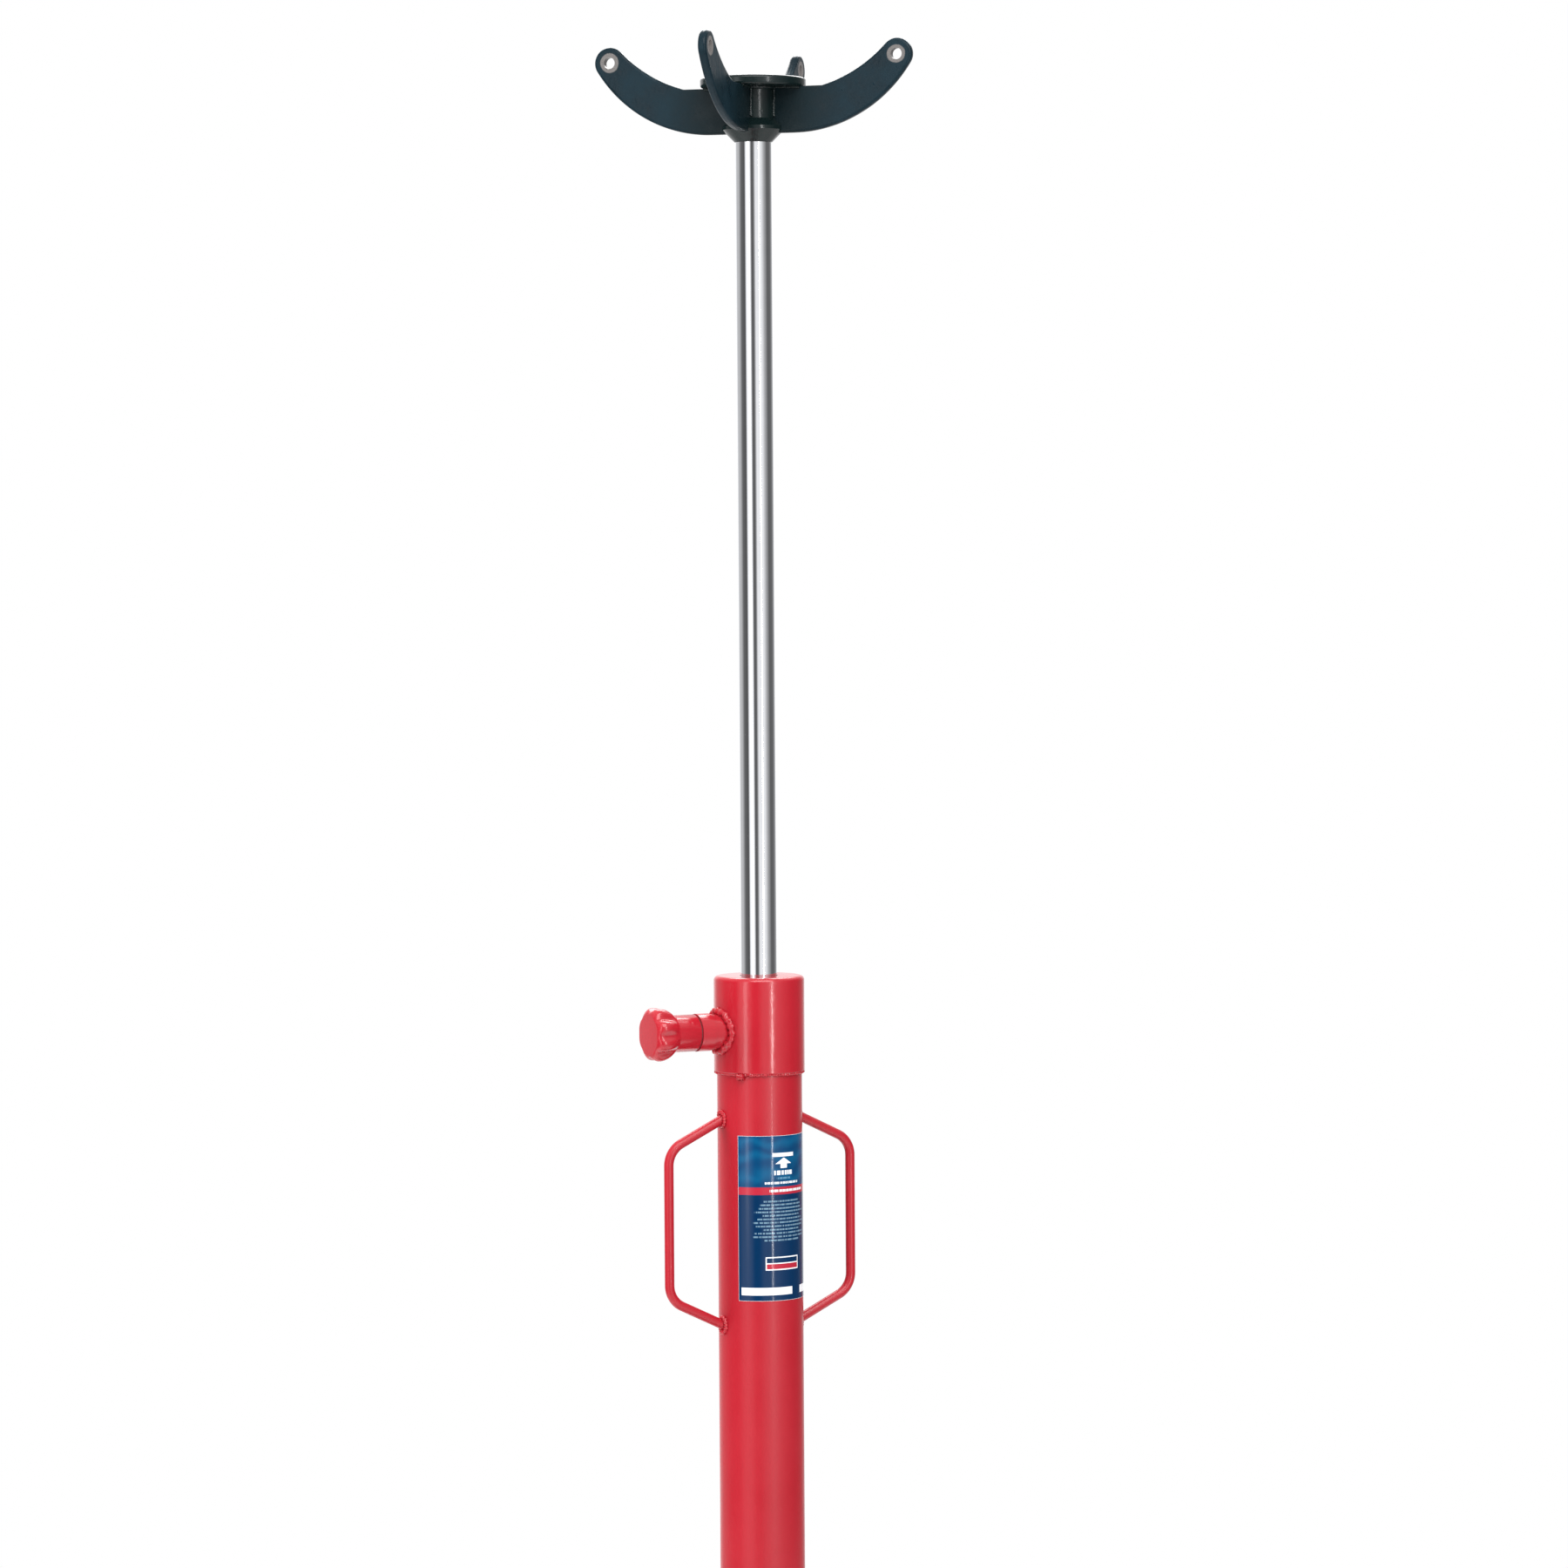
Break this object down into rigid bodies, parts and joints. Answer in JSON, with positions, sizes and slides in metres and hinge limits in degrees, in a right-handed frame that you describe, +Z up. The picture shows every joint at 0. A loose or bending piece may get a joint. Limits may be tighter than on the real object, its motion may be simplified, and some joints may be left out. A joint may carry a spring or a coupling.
{
  "type": "transmission jack",
  "caption": "Single-ram hydraulic jack on a castored cross base: a chromed ram carries a swivelling saddle with curved arms; foot pump, release pedal and side handles.",
  "frame": {"origin": "on the floor under the ram's axis", "axes": "+Z up along the ram, -Y to the operator's side with the pedals and the label, +X to the operator's right"},
  "size_m": [0.5926, 0.5926, 1.9861],
  "materials": {
    "red_paint": "gloss enamel over mill scale and weld",
    "black_paint": "gloss blue-black enamel",
    "hard_chrome": "ground and hard-chromed",
    "ground_steel": "turned or ground, oiled",
    "zinc_plate": "bright zinc plate",
    "spring_steel": "oil-tempered wire",
    "bearing_bronze": "turned bronze",
    "seal_rubber": "moulded, smooth",
    "tread_rubber": "moulded, ribbed",
    "black_plastic": "moulded",
    "wheel_nylon": "moulded nylon",
    "printed_label": "printed vinyl, glossy"
  },
  "bodies": {
    "frame": {"foot_block": "red_paint", "reservoir_tube": "red_paint", "pressure_cylinder": "ground_steel", "head_collar": "red_paint", "guide_bush": "bearing_bronze", "rod_seal": "seal_rubber", "wiper_ring": "seal_rubber", "filler_neck": "red_paint", "filler_washer": "seal_rubber", "filler_cap": "red_paint", "handle_left": "red_paint", "handle_right": "red_paint", "rating_label": "printed_label", "foot_plates": "red_paint", "leg_gussets": "red_paint", "leg_end_caps": "black_plastic", "castor_plates": "zinc_plate", "castor_bolts": "zinc_plate", "castor_balls": "ground_steel", "pump_barrel": "ground_steel", "pump_spring": "spring_steel", "pedal_bracket": "red_paint", "pedal_pin": "zinc_plate", "release_gland": "zinc_plate", "relief_screw": "zinc_plate", "leg_rear_right": "red_paint", "leg_rear_left": "red_paint", "leg_front_left": "red_paint", "leg_front_right": "red_paint"},
    "ram": {"ram_tube": "hard_chrome", "piston_head": "ground_steel", "piston_seal": "seal_rubber"},
    "saddle": {"saddle_hub": "black_paint", "saddle_stub": "ground_steel", "saddle_plate": "black_paint", "saddle_screw": "black_paint", "saddle_arm_1": "black_paint", "saddle_arm_2": "black_paint", "saddle_arm_3": "black_paint", "saddle_arm_4": "black_paint"},
    "pedal": {"pedal_lever": "red_paint", "pedal_tread": "tread_rubber", "pedal_roller": "ground_steel"},
    "plunger": {"pump_plunger": "hard_chrome"},
    "release": {"release_spindle": "ground_steel", "release_pedal": "red_paint"},
    "castor_rear_right": {"castor_fork_rear_right": "zinc_plate", "castor_axle_rear_right": "zinc_plate"},
    "wheel_rear_right": {"castor_wheel_rear_right": "wheel_nylon"},
    "castor_rear_left": {"castor_fork_rear_left": "zinc_plate", "castor_axle_rear_left": "zinc_plate"},
    "wheel_rear_left": {"castor_wheel_rear_left": "wheel_nylon"},
    "castor_front_left": {"castor_fork_front_left": "zinc_plate", "castor_axle_front_left": "zinc_plate"},
    "wheel_front_left": {"castor_wheel_front_left": "wheel_nylon"},
    "castor_front_right": {"castor_fork_front_right": "zinc_plate", "castor_axle_front_right": "zinc_plate"},
    "wheel_front_right": {"castor_wheel_front_right": "wheel_nylon"}
  },
  "joints": [
    {"name": "ram_lift", "type": "slide", "parent": "frame", "child": "ram", "axis": [0, 0, 1], "range_m": [-0.864, 0]},
    {"name": "saddle_swivel", "type": "hinge", "parent": "ram", "child": "saddle", "pos_m": [0, 0, 1.883], "axis": [0, 0, 1], "continuous": true},
    {"name": "pump_pedal", "type": "hinge", "parent": "frame", "child": "pedal", "pos_m": [0, -0.058, 0.2], "axis": [1, 0, 0], "range_deg": [0, 25], "stiffness_Nm_per_rad": 15, "springref_deg": -17.19},
    {"name": "pump_plunger", "type": "slide", "parent": "frame", "child": "plunger", "axis": [0, 0, -1], "range_m": [0, 0.0161], "deforming": ["pump_spring"]},
    {"name": "release_pedal", "type": "hinge", "parent": "frame", "child": "release", "pos_m": [0.028, -0.15, 0.05], "axis": [0, 1, 0], "range_deg": [0, 25], "stiffness_Nm_per_rad": 5, "springref_deg": -17.19},
    {"name": "castor_swivel_rear_right", "type": "hinge", "parent": "frame", "child": "castor_rear_right", "pos_m": [0.23334, 0.23334, 0.0952], "axis": [0, 0, 1], "continuous": true},
    {"name": "wheel_spin_rear_right", "type": "hinge", "parent": "castor_rear_right", "child": "wheel_rear_right", "pos_m": [0.25314, 0.25314, 0.0375], "axis": [-0.7071, 0.7071, 0], "continuous": true},
    {"name": "castor_swivel_rear_left", "type": "hinge", "parent": "frame", "child": "castor_rear_left", "pos_m": [-0.23334, 0.23334, 0.0952], "axis": [0, 0, 1], "continuous": true},
    {"name": "wheel_spin_rear_left", "type": "hinge", "parent": "castor_rear_left", "child": "wheel_rear_left", "pos_m": [-0.25314, 0.25314, 0.0375], "axis": [-0.7071, -0.7071, 0], "continuous": true},
    {"name": "castor_swivel_front_left", "type": "hinge", "parent": "frame", "child": "castor_front_left", "pos_m": [-0.23334, -0.23334, 0.0952], "axis": [0, 0, 1], "continuous": true},
    {"name": "wheel_spin_front_left", "type": "hinge", "parent": "castor_front_left", "child": "wheel_front_left", "pos_m": [-0.25314, -0.25314, 0.0375], "axis": [0.7071, -0.7071, 0], "continuous": true},
    {"name": "castor_swivel_front_right", "type": "hinge", "parent": "frame", "child": "castor_front_right", "pos_m": [0.23334, -0.23334, 0.0952], "axis": [0, 0, 1], "continuous": true},
    {"name": "wheel_spin_front_right", "type": "hinge", "parent": "castor_front_right", "child": "wheel_front_right", "pos_m": [0.25314, -0.25314, 0.0375], "axis": [0.7071, 0.7071, 0], "continuous": true}
  ],
  "couplings": [
    {"joint": "pump_plunger", "follows": "pump_pedal", "m_per_rad": 0.03671}
  ]
}
